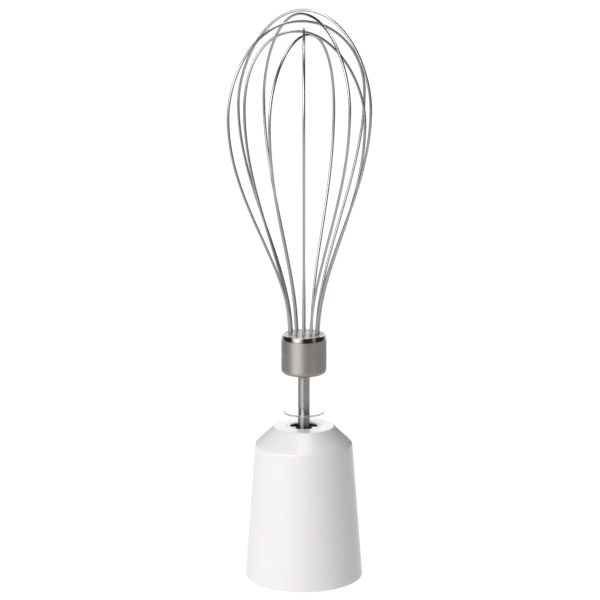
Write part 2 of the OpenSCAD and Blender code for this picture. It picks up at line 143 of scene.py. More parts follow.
class WhiskColours(bpy.types.PropertyGroup):
    """Colours of the finishes."""

    housing: colour("Housing", "White ABS of the housing", "#d3d1d0")
    collar: colour("Collar", "White ABS inside the mouth", "#eceae6")
    plug: colour("Plug", "White plug that holds the wires", "#aeaaa7")
    dark: colour("Dark parts", "Glass-filled nylon of the gear case", "#26262a")
    acetal: colour("Gears", "Natural acetal of the gears", "#e2ded2")
    bronze: colour("Bushes", "Sintered bronze", "#a98452")
    steel: colour("Steel", "Stainless steel", "#9b9795")
    wire: colour("Wire", "Drawn stainless wire", "#a4a1a0")
    sinter: colour("Sintered steel", "Sintered steel parts", "#6d6b68")
    rubber: colour("Rubber", "Nitrile rubber", "#17171a")
    clear: colour("Clear disc", "Clear polycarbonate", "#edeeee")
    floor: colour("Floor", "Opal acrylic sheet before it is lit", "#303030")


# ---------------------------------------------------------------- mesh tools

CORNER_STEP = math.radians(9)
TURN_SEGMENTS = 160
SHARP = math.radians(38)
# A point nearer the axis than this, in millimetres, lies on it.
ON_AXIS = 1e-6
# A cutting drum runs this far past the face that it opens, in millimetres.
CUT_RUN = 1


def millimetres(value):
    """A length property in millimetres."""
    return value / MM


def rounded_corner(before, here, after):
    """Points of one outline corner, rounded to its third number."""
    point = Vector(here[:2])
    radius = here[2]
    if radius == 0:
        return [point]
    to_before = (Vector(before[:2]) - point).normalized()
    to_after = (Vector(after[:2]) - point).normalized()
    half = to_before.angle(to_after) / 2
    centre = point + (to_before + to_after).normalized() * radius / math.sin(half)
    start = point + to_before * radius / math.tan(half) - centre
    end = point + to_after * radius / math.tan(half) - centre
    turn = math.atan2(start.x * end.y - start.y * end.x, start.dot(end))
    steps = max(3, math.ceil(abs(turn) / CORNER_STEP))
    first = math.atan2(start.y, start.x)
    angles = [first + turn * i / steps for i in range(steps + 1)]
    return [centre + radius * Vector((math.cos(a), math.sin(a))) for a in angles]


def rounded_outline(points):
    """A closed outline from (radius, height, corner radius) points."""
    outline = []
    for i, here in enumerate(points):
        outline += rounded_corner(points[i - 1], here, points[(i + 1) % len(points)])
    return outline


def finished_object(name, mesh_data):
    """Puts a bmesh in the scene as an object, with clean smooth shading."""
    bmesh.ops.recalc_face_normals(mesh_data, faces=mesh_data.faces)
    mesh = bpy.data.meshes.new(name)
    mesh_data.to_mesh(mesh)
    mesh_data.free()
    piece = bpy.data.objects.new(name, mesh)
    bpy.context.scene.collection.objects.link(piece)
    shade(piece)
    return piece


def shade(piece):
    """Smooth shading with sharp edges kept, and flat faces that stay flat."""
    mesh_data = bmesh.new()
    mesh_data.from_mesh(piece.data)
    for face in mesh_data.faces:
        face.smooth = True
    for edge in mesh_data.edges:
        edge.smooth = len(edge.link_faces) == 2 and edge.calc_face_angle() < SHARP
    mesh_data.to_mesh(piece.data)
    mesh_data.free()
    if "flat faces" not in piece.modifiers:
        weighted = piece.modifiers.new("flat faces", "WEIGHTED_NORMAL")
        weighted.keep_sharp = True
        weighted.weight = 100


def turned_bmesh(points, segments):
    """A closed outline turned about the drive axis. Points on the axis become one vertex."""
    outline = rounded_outline(points)
    result = bmesh.new()
    rings = []
    for point in outline:
        if point.x < ON_AXIS:
            rings.append([result.verts.new((0, 0, point.y * MM))] * segments)
            continue
        rings.append([
            result.verts.new((
                point.x * MM * math.cos(2 * math.pi * k / segments),
                point.x * MM * math.sin(2 * math.pi * k / segments),
                point.y * MM,
            )) for k in range(segments)
        ])
    for i, low in enumerate(rings):
        high = rings[(i + 1) % len(rings)]
        for k in range(segments):
            corners = [low[k], low[(k + 1) % segments], high[(k + 1) % segments], high[k]]
            unique = list(dict.fromkeys(corners))
            if len(unique) > 2:
                result.faces.new(unique)
    return result


def turned(name, points, segments=TURN_SEGMENTS):
    """A turned piece."""
    return finished_object(name, turned_bmesh(points, segments))


def drum_bmesh(radius, low, high, x=0.0, y=0.0, segments=64):
    """A closed drum of that radius between two heights, used to cut or add."""
    drum = turned_bmesh([(0, low, 0), (radius, low, 0), (radius, high, 0), (0, high, 0)],
                        segments)
    bmesh.ops.translate(drum, verts=drum.verts, vec=(x * MM, y * MM, 0))
    return drum


def merged(parts):
    """Several bmeshes as one."""
    whole = bmesh.new()
    for part in parts:
        mesh = bpy.data.meshes.new("part")
        part.to_mesh(mesh)
        part.free()
        whole.from_mesh(mesh)
        bpy.data.meshes.remove(mesh)
    return whole


def combine(piece, tool_mesh, operation):
    """Cuts a closed bmesh out of a piece, or joins it on, and makes the result its mesh."""
    tool = finished_object("tool", tool_mesh)
    tool.modifiers.clear()
    piece.modifiers.clear()
    change = piece.modifiers.new("change", "BOOLEAN")
    change.object = tool
    change.operation = operation
    change.solver = "EXACT"
    depsgraph = bpy.context.evaluated_depsgraph_get()
    result = bpy.data.meshes.new_from_object(piece.evaluated_get(depsgraph))
    if not result.polygons:
        raise RuntimeError(f"{piece.name} lost its mesh")
    piece.modifiers.clear()
    old = piece.data
    piece.data = result
    bpy.data.meshes.remove(old)
    bpy.data.objects.remove(tool)
    shade(piece)


def swept(name, path, normals, radius, sides):
    """A round wire along a path. Each point has a direction across the wire to start from."""
    result = bmesh.new()
    rings = []
    for i, point in enumerate(path):
        ahead = path[min(i + 1, len(path) - 1)]
        behind = path[max(i - 1, 0)]
        along = (ahead - behind).normalized()
        across = (normals[i] - normals[i].dot(along) * along).normalized()
        other = along.cross(across)
        rings.append([
            result.verts.new(point + radius * (
                math.cos(2 * math.pi * k / sides) * across
                + math.sin(2 * math.pi * k / sides) * other
            )) for k in range(sides)
        ])
    for low, high in zip(rings, rings[1:]):
        for k in range(sides):
            result.faces.new([low[k], low[(k + 1) % sides], high[(k + 1) % sides], high[k]])
    result.faces.new(rings[0][::-1])
    result.faces.new(rings[-1])
    return finished_object(name, result)


def placed(piece, body, slot, node):
    """Gives a piece its body and its finish, and hides the CAD node that it stands for."""
    piece.data.materials.clear()
    piece.data.materials.append(MATERIALS[slot])
    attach(piece, body)
    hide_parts(node)


# ---------------------------------------------------------------- materials

def per(millimetre_size):
    """Texture scale whose features measure that many millimetres."""
    return 1 / (millimetre_size * MM)


def add_node(tree, kind, sockets=None, **settings):
    """Adds a node, sets its settings, and sets or links its sockets."""
    made = tree.nodes.new(kind)
    for name, value in settings.items():
        setattr(made, name, value)
    for name, value in (sockets or {}).items():
        if isinstance(value, bpy.types.NodeSocket):
            tree.links.new(value, made.inputs[name])
        else:
            made.inputs[name].default_value = value
    return made


def started(name, rgb, **values):
    """A material with its shader and the piece's own coordinates, ready for patterns."""
    material = bpy.data.materials.new(name)
    material.use_nodes = True
    tree = material.node_tree
    tree.nodes.clear()
    shader = add_node(tree, "ShaderNodeBsdfPrincipled", {"Base Color": (*rgb, 1)})
    for socket, value in values.items():
        shader.inputs[socket.replace("_", " ")].default_value = value
    add_node(tree, "ShaderNodeOutputMaterial", {"Surface": shader.outputs[0]})
    place = add_node(tree, "ShaderNodeTexCoord").outputs["Object"]
    return material, tree, shader, place


def bumped(tree, shader, height, relief_mm, strength=1.0):
    """Turns a pattern into relief that many millimetres deep."""
    bump = add_node(tree, "ShaderNodeBump", {
        "Height": height, "Distance": relief_mm * MM, "Strength": strength,
    })
    tree.links.new(bump.outputs[0], shader.inputs["Normal"])


# Size in millimetres of the slow drifts in gloss and tint: of moulded plastic, of metal,
# and of the flow in a clear moulding.
CLOUD_MM = 9
DRIFT_MM = 6
FLOW_MM = 3


def moulded_plastic(name, rgb, rough, grain_mm, relief_mm, **values):
    """Injection-moulded plastic: a fine spark-eroded grain from the tool, a gloss that
    drifts a little across the face, and the faintest clouding of the colour."""
    material, tree, shader, place = started(name, rgb, IOR=1.53, **values)
    cloud = add_node(tree, "ShaderNodeTexNoise", {
        "Vector": place, "Scale": per(CLOUD_MM), "Detail": 3.0, "Roughness": 0.55,
    })
    tint = add_node(tree, "ShaderNodeMapRange", {
        "Value": cloud.outputs[0], "To Min": 0.985, "To Max": 1.0,
    })
    shaded = add_node(tree, "ShaderNodeVectorMath", {
        0: rgb, 3: tint.outputs[0],
    }, operation="SCALE")
    tree.links.new(shaded.outputs[0], shader.inputs["Base Color"])
    gloss = add_node(tree, "ShaderNodeMapRange", {
        "Value": cloud.outputs[0], "To Min": rough * 0.9, "To Max": rough * 1.1,
    })
    tree.links.new(gloss.outputs[0], shader.inputs["Roughness"])
    grain = add_node(tree, "ShaderNodeTexNoise", {
        "Vector": place, "Scale": per(grain_mm), "Detail": 2.0, "Roughness": 0.5,
    })
    bumped(tree, shader, grain.outputs[0], relief_mm)
    return material


# Half the width of the soft edge of a polished band, in millimetres.
POLISH_EDGE = 0.2


def in_band(tree, height, low, high):
    """1 between two heights in millimetres and 0 outside them, with soft edges."""
    over = add_node(tree, "ShaderNodeMapRange", {
        "Value": height, "From Min": (low - POLISH_EDGE) * MM,
        "From Max": (low + POLISH_EDGE) * MM,
    })
    under = add_node(tree, "ShaderNodeMapRange", {
        "Value": height, "From Min": (high + POLISH_EDGE) * MM,
        "From Max": (high - POLISH_EDGE) * MM,
    })
    return add_node(tree, "ShaderNodeMath", {
        0: over.outputs[0], 1: under.outputs[0],
    }, operation="MULTIPLY").outputs[0]


def brushed_metal(name, rgb, rough, stretch, line_mm, relief_mm, polish=None, **values):
    """Stainless steel dressed with an abrasive belt: fine lines that run one way, which
    drag every highlight out across them. `stretch` is how long the lines are on X, Y and
    Z against their spacing. `polish` is a band where the belt has not been: its two
    heights in mm and its roughness."""
    material, tree, shader, place = started(name, rgb, Metallic=1.0, **values)
    scaled = add_node(tree, "ShaderNodeMapping", {
        "Vector": place, "Scale": tuple(1 / s for s in stretch),
    })
    lines = add_node(tree, "ShaderNodeTexNoise", {
        "Vector": scaled.outputs[0], "Scale": per(line_mm), "Detail": 4.0, "Roughness": 0.6,
    })
    drift = add_node(tree, "ShaderNodeTexNoise", {
        "Vector": place, "Scale": per(DRIFT_MM), "Detail": 2.0,
    })
    blend = add_node(tree, "ShaderNodeMath", {
        0: lines.outputs[0], 1: drift.outputs[0],
    }, operation="ADD")
    rough_range = add_node(tree, "ShaderNodeMapRange", {
        "Value": blend.outputs[0], "From Min": 0.7, "From Max": 1.3,
        "To Min": rough * 0.8, "To Max": rough * 1.2,
    })
    relief = lines.outputs[0]
    roughness = rough_range.outputs[0]
    if polish:
        height = add_node(tree, "ShaderNodeSeparateXYZ", {0: place}).outputs[2]
        low, high, polished_rough = polish
        inside = in_band(tree, height, low, high)
        roughness = add_node(tree, "ShaderNodeMix", {
            "Factor": inside, "A": roughness, "B": polished_rough,
        }).outputs[0]
        relief = add_node(tree, "ShaderNodeMix", {
            "Factor": inside, "A": relief, "B": 0.5,
        }).outputs[0]
    tree.links.new(roughness, shader.inputs["Roughness"])
    bumped(tree, shader, relief, relief_mm)
    return material


# How dark the painted shade in a pore is against the skin, and how deep a pore is in
# millimetres.
PAINTED_PORE_SHADE = 0.35
PORE_DEPTH = 0.01


def sintered_metal(name, rgb, rough, pore_mm):
    """Pressed and sintered powder: a dull skin full of small pores, each darkened with
    painted shade.
    """
    material, tree, shader, place = started(name, rgb, Metallic=1.0)
    pores = add_node(tree, "ShaderNodeTexVoronoi", {"Vector": place, "Scale": per(pore_mm)})
    depth = add_node(tree, "ShaderNodeMapRange", {
        "Value": pores.outputs["Distance"], "From Min": 0.05, "From Max": 0.35,
    })
    # painted shade: each pore's colour is darkened to stand for the shade inside the hole
    dark = tuple(c * PAINTED_PORE_SHADE for c in rgb)
    skin = add_node(tree, "ShaderNodeMix", {
        0: depth.outputs[0], 6: (*dark, 1), 7: (*rgb, 1),
    }, data_type="RGBA")
    tree.links.new(skin.outputs[2], shader.inputs["Base Color"])
    rough_range = add_node(tree, "ShaderNodeMapRange", {
        "Value": depth.outputs[0], "To Min": min(1, rough * 1.5), "To Max": rough,
    })
    tree.links.new(rough_range.outputs[0], shader.inputs["Roughness"])
    bumped(tree, shader, depth.outputs[0], PORE_DEPTH)
    return material


# What the ground rim changes: the socket, its value in the clear face and in the rim.
RIM_FINISH = (("Roughness", 0.02, 0.3), ("Transmission Weight", 1.0, 0.85))
# Width of the ground rim and half the width of its soft edge, in millimetres.
RIM_BAND = 0.5
RIM_EDGE = 0.1


def clear_plastic(name, rgb, rim_mm):
    """Clear polycarbonate, polished in the tool and ground round its rim: the faces are
    all but invisible, the rim beyond `rim_mm` from the axis shows as a soft pale line, and
    the flow of the melt has left only the faintest ripple."""
    material, tree, shader, place = started(name, rgb, IOR=1.58)
    across = add_node(tree, "ShaderNodeVectorMath", {0: place, 1: (1, 1, 0)},
                      operation="MULTIPLY")
    distance = add_node(tree, "ShaderNodeVectorMath", {0: across.outputs[0]},
                        operation="LENGTH")
    for socket, clear, ground in RIM_FINISH:
        haze = add_node(tree, "ShaderNodeMapRange", {
            "Value": distance.outputs["Value"], "From Min": (rim_mm - RIM_EDGE) * MM,
            "From Max": (rim_mm + RIM_EDGE) * MM, "To Min": clear, "To Max": ground,
        })
        tree.links.new(haze.outputs[0], shader.inputs[socket])
    flow = add_node(tree, "ShaderNodeTexNoise", {"Vector": place, "Scale": per(FLOW_MM)})
    bumped(tree, shader, flow.outputs[0], relief_mm=0.00005)
    return material


# Size in millimetres of the sanding marks on the floor.
SANDED_MM = 1.5


def lit_acrylic(name, rgb, glow):
    """Opal acrylic sheet lit from below: it gives its own even white light, so that
    nothing standing on it casts a shadow, and its skin is finely sanded."""
    material, tree, shader, place = started(
        name, rgb, Roughness=0.7, Emission_Color=(1, 1, 1, 1), Emission_Strength=glow,
        Specular_IOR_Level=0.1,
    )
    tooth = add_node(tree, "ShaderNodeTexNoise", {"Vector": place, "Scale": per(SANDED_MM)})
    bumped(tree, shader, tooth.outputs[0], relief_mm=0.02, strength=0.5)
    return material


# Gap in millimetres between the ends of the disc's hub and of the shaft's groove.
HUB_CLEARANCE = 0.05
# The ferrule's polish runs on this far past its top, so that the rim has it too.
PAST_RIM = 0.9
# How long a metal's fine lines are on X, Y and Z. They run round the turned pieces, along
# the drawn spindle and pins, only a little one way on stampings, and no way on the wire.
ROUND_THE_AXIS = (60, 60, 1)
ALONG_THE_AXIS = (1, 1, 60)
STAMPED = (8, 8, 1)
EVEN = (1, 1, 1)

MATERIALS = {}


def groove_span():
    """The lowest and highest points of the shaft's groove, in millimetres."""
    return foot_of("drip_disc") - HUB_CLEARANCE, top_of("drip_disc") + HUB_CLEARANCE


def make_materials(colours, bevel_height):
    """Makes every finish once, under the name of its slot."""
    ferrule_top = top_of("ferrule")
    MATERIALS.update({
        "white_plastic": moulded_plastic(
            "ABS moulded satin white", colours.housing,
            rough=0.3, grain_mm=0.5, relief_mm=0.004, Subsurface_Weight=0.08,
            Subsurface_Scale=0.001, Coat_Weight=0.12, Coat_Roughness=0.12,
        ),
        "collar_plastic": moulded_plastic(
            "ABS moulded fine matt white", colours.collar,
            rough=0.42, grain_mm=0.4, relief_mm=0.006,
        ),
        "plug_plastic": moulded_plastic(
            "Polyamide moulded satin white", colours.plug,
            rough=0.42, grain_mm=0.6, relief_mm=0.003, Subsurface_Weight=0.1,
            Subsurface_Scale=0.001,
        ),
        "dark_plastic": moulded_plastic(
            "Glass-filled nylon moulded black", colours.dark,
            rough=0.48, grain_mm=0.3, relief_mm=0.01,
        ),
        "acetal": moulded_plastic(
            "Acetal moulded natural", colours.acetal,
            rough=0.32, grain_mm=0.5, relief_mm=0.003, Subsurface_Weight=0.15,
            Subsurface_Scale=0.001,
        ),
        "bronze": sintered_metal(
            "Bronze sintered", colours.bronze, rough=0.38, pore_mm=0.25,
        ),
        "bright_steel": brushed_metal(
            "Steel bright drawn", colours.steel,
            rough=0.22, stretch=ALONG_THE_AXIS, line_mm=0.15, relief_mm=0.002,
        ),
        "sintered_steel": sintered_metal(
            "Steel sintered grey", colours.sinter, rough=0.42, pore_mm=0.22,
        ),
        "spring_steel": brushed_metal(
            "Spring steel stamped", colours.sinter,
            rough=0.35, stretch=STAMPED, line_mm=0.12, relief_mm=0.002,
        ),
        "brushed_steel": brushed_metal(
            "Stainless steel ground shaft", colours.steel,
            rough=0.4, stretch=ROUND_THE_AXIS, line_mm=0.12, relief_mm=0.002,
            polish=(*groove_span(), 0.13), Anisotropic=0.75, Anisotropic_Rotation=0.25,
        ),
        "ferrule_steel": brushed_metal(
            "Stainless steel brushed ferrule", colours.steel,
            rough=0.46, stretch=ROUND_THE_AXIS, line_mm=0.2, relief_mm=0.006,
            polish=(ferrule_top - bevel_height, ferrule_top + PAST_RIM, 0.1),
            Anisotropic=0.75, Anisotropic_Rotation=0.25,
        ),
        "wire_steel": brushed_metal(
            "Stainless steel drawn wire", colours.wire,
            rough=0.28, stretch=EVEN, line_mm=0.3, relief_mm=0.0004,
        ),
        "rubber": moulded_plastic(
            "Nitrile rubber moulded", colours.rubber,
            rough=0.6, grain_mm=0.3, relief_mm=0.01,
        ),
        "clear_plastic": clear_plastic(
            "Polycarbonate clear", colours.clear,
            rim_mm=radius_of("drip_disc") - RIM_BAND,
        ),
    })


# ---------------------------------------------------------------- pieces

# The screws and the bosses that they bite in, in degrees and millimetres. A boss starts
# a little way up the screw's grip.
SCREW_ANGLES = (30, 150, 270)
SCREW_CIRCLE = 18.5
SCREW_RADIUS = 0.9
SCREW_GRIP = 8.5
BOSS_RADIUS = 1.7
BOSS_START = 0.5
BOSS_TOP = 55

# How far the inside of the taper stands in from the flat top and down from the shoulder.
INNER_TOP_STEP = 1.2
INNER_SHOULDER_DROP = 0.9


class WHISK_OT_materials(bpy.types.Operator):
    """Make the finishes and give one to every CAD node that stays in view"""

    bl_idname = "whisk.materials"
    bl_label = "Finishes"

    def execute(self, context):
        scene = context.scene
        make_materials(scene.whisk_colours, millimetres(scene.whisk_sizes.bevel_height))
        for row in frame["record"]["subparts"]:
            mesh = frame["nodes"][row["node"]].data
            mesh.materials.clear()
            mesh.materials.append(MATERIALS[row["material_slot"]])
        return {"FINISHED"}


class WHISK_OT_housing(bpy.types.Operator):
    """Turn the tapered housing shell and add the screw bosses inside it"""

    bl_idname = "whisk.housing"
    bl_label = "Housing shell"

    def execute(self, context):
        sizes = context.scene.whisk_housing
        mouth, shoulder = millimetres(sizes.mouth_radius), millimetres(sizes.shoulder_radius)
        shoulder_z, top_r = millimetres(sizes.shoulder_height), millimetres(sizes.top_radius)
        wall, top_wall = millimetres(sizes.wall), millimetres(sizes.top_wall)
        top_z = top_of("housing_shell")
        hole = radius_of("hub_cap") + millimetres(sizes.hub_gap)
        shell = turned("housing_skin", [
            (mouth - wall, 0, 0.4), (mouth, 0, 0.8), (shoulder, shoulder_z, 1.4),
            (top_r, top_z, 0.9), (hole, top_z, 0.12), (hole, top_z - top_wall, 0.1),
            (top_r - INNER_TOP_STEP, top_z - top_wall, 0.6),
            (shoulder - wall, shoulder_z - INNER_SHOULDER_DROP, 0.6),
        ], segments=192)
        boss_foot = top_of("case_screws") - SCREW_GRIP + BOSS_START
        turns = [math.radians(angle) for angle in SCREW_ANGLES]
        spots = [(SCREW_CIRCLE * math.cos(t), SCREW_CIRCLE * math.sin(t)) for t in turns]
        combine(shell, merged([
            drum_bmesh(BOSS_RADIUS, boss_foot, BOSS_TOP, x, y, segments=40)
            for x, y in spots
        ]), "UNION")
        combine(shell, merged([
            drum_bmesh(SCREW_RADIUS, boss_foot - CUT_RUN, boss_foot + SCREW_GRIP, x, y,
                       segments=32)
            for x, y in spots
        ]), "DIFFERENCE")
        placed(shell, "housing", "white_plastic", "housing_shell")
        return {"FINISHED"}


# The socket's teeth: where they stand in degrees, and the points along each curve of them.
TOOTH_ANGLES = (90, 210, 330)
NOSE_STEPS = 6
FLANK_STEPS = 4
GAP_STEPS = 24
# A tooth's flanks are aimed at a root this far behind the socket's circle, in millimetres.
ROOT_RUN = 1
# Rounding of the cap's rim, and the steps in every rounded edge of the cap.
CAP_RIM = 0.2
CAP_STEPS = 4


def socket_edge(sizes):
    """Outline of the toothed socket, counter-clockwise, in millimetres."""
    radius, tip = millimetres(sizes.socket_radius), millimetres(sizes.tooth_tip)
    nose, base = millimetres(sizes.tooth_nose), millimetres(sizes.tooth_base)
    centre = Vector((tip + nose, 0))
    start = Vector((centre.x, nose))
    flank = Vector((radius + ROOT_RUN, base)) - start
    # where the flank meets the socket's circle
    a, b, c = flank.length_squared, 2 * start.dot(flank), start.length_squared - radius ** 2
    meet = start + flank * (-b + math.sqrt(b * b - 4 * a * c)) / (2 * a)
    meet_angle = math.atan2(meet.y, meet.x)
    gap_angle = 2 * math.pi / len(TOOTH_ANGLES) - 2 * meet_angle
    nose_turns = [math.pi * 1.5 - math.pi * i / NOSE_STEPS for i in range(NOSE_STEPS + 1)]
    gap_turns = [meet_angle + gap_angle * i / GAP_STEPS for i in range(1, GAP_STEPS)]
    low_meet, low_start = Vector((meet.x, -meet.y)), Vector((start.x, -start.y))
    tooth = [low_meet.lerp(low_start, i / FLANK_STEPS) for i in range(FLANK_STEPS)]
    tooth += [centre + nose * Vector((math.cos(t), math.sin(t))) for t in nose_turns]
    tooth += [start.lerp(meet, (i + 1) / FLANK_STEPS) for i in range(FLANK_STEPS)]
    tooth += [radius * Vector((math.cos(t), math.sin(t))) for t in gap_turns]
    turns = [Matrix.Rotation(math.radians(angle), 2) for angle in TOOTH_ANGLES]
    return [turn @ p for turn in turns for p in tooth]


class WHISK_OT_hub_cap(bpy.types.Operator):
    """Build the white cap of the turning hub, with its toothed opening"""

    bl_idname = "whisk.hub_cap"
    bl_label = "Hub cap"

    def execute(self, context):
        sizes = context.scene.whisk_socket
        inner = socket_edge(sizes)
        edge = millimetres(sizes.edge)
        outer_r, low, high = radius_of("hub_cap"), foot_of("hub_cap"), top_of("hub_cap")
        count = len(inner)
        quarter_turns = [math.pi / 2 * i / CAP_STEPS for i in range(CAP_STEPS + 1)]
        rings = []
        result = bmesh.new()

        def ring(points, z):
            rings.append([result.verts.new((p.x * MM, p.y * MM, z * MM)) for p in points])

        inward = []
        for i, point in enumerate(inner):
            along = (inner[(i + 1) % count] - inner[i - 1]).normalized()
            inward.append(Vector((along.y, -along.x)))
        outward = [p.normalized() for p in inner]
        ring(inner, low)
        ring(inner, high - edge)
        for t in quarter_turns[1:]:
            ring([p + n * edge * (1 - math.cos(t)) for p, n in zip(inner, inward)],
                 high - edge * (1 - math.sin(t)))
        for t in quarter_turns:
            ring([n * (outer_r - CAP_RIM * (1 - math.sin(t))) for n in outward],
                 high - CAP_RIM * (1 - math.cos(t)))
        ring([n * outer_r for n in outward], low)
        for a, b in zip(rings, rings[1:] + rings[:1]):
            for k in range(count):
                m = (k + 1) % count
                result.faces.new([a[k], a[m], b[m], b[k]])
        cap = finished_object("hub_cap_skin", result)
        placed(cap, "carrier", "white_plastic", "hub_cap")
        return {"FINISHED"}


class WHISK_OT_shaft(bpy.types.Operator):
    """Turn the whisk's shaft, with the groove that holds the clear disc"""

    bl_idname = "whisk.shaft"
    bl_label = "Whisk shaft"

    def execute(self, context):
        sizes = context.scene.whisk_sizes
        radius = millimetres(sizes.shaft_radius)
        low, high = foot_of("whisk_shaft"), top_of("whisk_shaft")
        groove_low, groove_high = groove_span()
        shaft = turned("shaft_ground", [
            (0, low, 0), (radius, low, 0.5), (radius, groove_low, 0.12),
            (millimetres(sizes.groove_foot), groove_low, 0.1),
            (millimetres(sizes.groove_top), groove_high, 0.1),
            (radius, groove_high, 0.12), (radius, high, 0.3), (0, high, 0),
        ], segments=96)
        placed(shaft, "whisk", "brushed_steel", "whisk_shaft")
        return {"FINISHED"}


class WHISK_OT_drip_disc(bpy.types.Operator):
    """Turn the clear disc, with a hub that fills the shaft's groove"""

    bl_idname = "whisk.drip_disc"
    bl_label = "Drip disc"

    def execute(self, context):
        sizes = context.scene.whisk_sizes
        low, high = foot_of("drip_disc"), top_of("drip_disc")
        middle = (low + high) / 2
        half_web = millimetres(sizes.disc_web) / 2
        edge_r = millimetres(sizes.disc_radius)
        hub = millimetres(sizes.hub_radius)
        # the hub is moulded onto the groove, so its bore is sunk to leave no air between
        sunk = 0.2
        bore_foot = millimetres(sizes.groove_foot) - sunk
        bore_top = millimetres(sizes.groove_top) - sunk
        disc = turned("drip_disc_clear", [
            (bore_foot, low, 0), (hub, low, 0.08), (hub, middle - half_web, 0.1),
            (edge_r, middle - half_web, 0.1), (edge_r, middle + half_web, 0.1),
            (hub, middle + half_web, 0.1), (hub, high, 0.08), (bore_top, high, 0),
        ], segments=128)
        placed(disc, "whisk", "clear_plastic", "drip_disc")
        # clear plastic lets the light through, so it shades nothing
        disc.visible_shadow = False
        return {"FINISHED"}


# Gap left round the shaft's end where the ferrule and the plug are pressed on, and the wide
# rounding where the ferrule's wall runs into its bevel, in millimetres.
PRESS_GAP = 0.01
BEVEL_BLEND = 6


class WHISK_OT_ferrule(bpy.types.Operator):
    """Turn the steel ferrule, with its rounded foot and polished bevel"""

    bl_idname = "whisk.ferrule"
    bl_label = "Ferrule"

    def execute(self, context):
        sizes = context.scene.whisk_sizes
        radius, corner = millimetres(sizes.ferrule_radius), millimetres(sizes.ferrule_corner)
        bevel, inset = millimetres(sizes.bevel_height), millimetres(sizes.bevel_inset)
        hole, bore = millimetres(sizes.shaft_radius) + PRESS_GAP, radius_of("wire_plug")
        low, floor_z, high = foot_of("ferrule"), foot_of("wire_plug"), top_of("ferrule")
        ferrule = turned("ferrule_brushed", [
            (hole, low, 0.1), (radius, low, corner), (radius, high - bevel, BEVEL_BLEND),
            (radius - inset, high, 0.15), (bore, high, 0.05), (bore, floor_z, 0.3),
            (hole, floor_z, 0),
        ])
        placed(ferrule, "whisk", "ferrule_steel", "ferrule")
        return {"FINISHED"}


# The plug's wire holes, the room over the shaft's end, and the small dimple in the middle
# of the plug's top, in millimetres.
WIRE_CLEARANCE = 0.05
WIRE_HOLE_DEPTH = 12.2
SHAFT_ROOM = 0.05
DIMPLE_RADIUS = 0.9
DIMPLE_FLOOR_RADIUS = 0.75
DIMPLE_DEPTH = 0.2


class WHISK_OT_plug(bpy.types.Operator):
    """Turn the white plug and bore the holes that the wires stand in"""

    bl_idname = "whisk.plug"
    bl_label = "Wire plug"

    def execute(self, context):
        sizes = context.scene.whisk_sizes
        shaft, circle = millimetres(sizes.shaft_radius), millimetres(sizes.wire_circle)
        hole = millimetres(sizes.wire_radius) + WIRE_CLEARANCE
        radius, low, high = radius_of("wire_plug"), foot_of("wire_plug"), top_of("wire_plug")
        dimple_z = high - DIMPLE_DEPTH
        plug = turned("wire_plug_skin", [
            (0, low, 0), (radius, low, 0.4), (radius, high, 0.05), (DIMPLE_RADIUS, high, 0.2),
            (DIMPLE_FLOOR_RADIUS, dimple_z, 0.1), (0, dimple_z, 0),
        ], segments=144)
        cutters = [
            drum_bmesh(shaft + PRESS_GAP, low - CUT_RUN, top_of("whisk_shaft") + SHAFT_ROOM)
        ]
        count = 2 * len(LOOPS)
        for k in range(count):
            a = 2 * math.pi * k / count + PLUG_TURN
            cutters.append(drum_bmesh(
                hole, high - WIRE_HOLE_DEPTH, high + CUT_RUN,
                circle * math.cos(a), circle * math.sin(a), segments=28,
            ))
        combine(plug, merged(cutters), "DIFFERENCE")
        placed(plug, "whisk", "plug_plastic", "wire_plug")
        return {"FINISHED"}


# The bend that the loops share: how far the curve is pulled at each end of the leg and of
# the crown, in millimetres, or for the crown's top as a share of the loop's half width.
LEG_RISE = 30.5
BELLY_PULL = 36.5
CROWN_RISE = 17
CROWN_FLAT = 0.61
# Height of the balloon's top over the loops' feet, in millimetres.
BALLOON_HEIGHT = 137.5
# The loops start to open this far under the plug's top, and their ends stand deeper still.
FOOT_DEPTH = 1.35
WIRE_DEPTH = 10.5
# The plug's holes stand a little round from the balloon, and the wires lose that turn over
# this height.
PLUG_TURN = math.radians(-2.3)
SETTLE_HEIGHT = 32
# Points along the leg and the crown.
LEG_STEPS = 64
CROWN_STEPS = 48

# Each loop as it is bent by hand: turn away from even spacing (degrees), half width, lean
# to its first side, height of its widest point, tilt of that point from one side to the
# other, drop below the top of the balloon, and shift of its own top.
LOOPS = [
    (0, 30, 0, 95, 0, 7.3, 0),
    (0, 35.4, 1.4, 98.5, 1.2, 1.6, 0),
    (8, 29.5, 0, 97, 0.4, 0, 0.5),
    (4, 25, 0.4, 93.2, -2.8, 8.7, -2.8),
    (-8, 30.3, -3.1, 98, 4.4, 4.5, -2.4),
    (0, 26.6, -1.2, 93.7, 0.7, 10.4, 2.3),
]


def cubic(points, t):
    """Point at t on a cubic curve."""
    weights = ((1 - t) ** 3, 3 * (1 - t) ** 2 * t, 3 * (1 - t) * t * t, t ** 3)
    return sum((w * Vector(p) for w, p in zip(weights, points)), Vector((0, 0)))


def loop_side(loop, side, circle, foot_z):
    """One side of a loop, from inside the plug to its top, as (distance out, height)."""
    _, half_width, lean, belly, tilt, drop, shift = loop
    width = half_width + side * lean
    foot = Vector((circle, foot_z))
    widest = Vector((width, foot_z + belly + side * tilt))
    top = Vector((side * shift, foot_z + BALLOON_HEIGHT - drop))
    leg = [foot, foot + Vector((0, LEG_RISE)), widest - Vector((0, BELLY_PULL)), widest]
    crown = [widest, widest + Vector((0, CROWN_RISE)), top + Vector((CROWN_FLAT * width, 0)),
             top]
    return (
        [Vector((circle, foot_z - WIRE_DEPTH))]
        + [cubic(leg, i / LEG_STEPS) for i in range(LEG_STEPS)]
        + [cubic(crown, i / CROWN_STEPS) for i in range(CROWN_STEPS + 1)]
    )


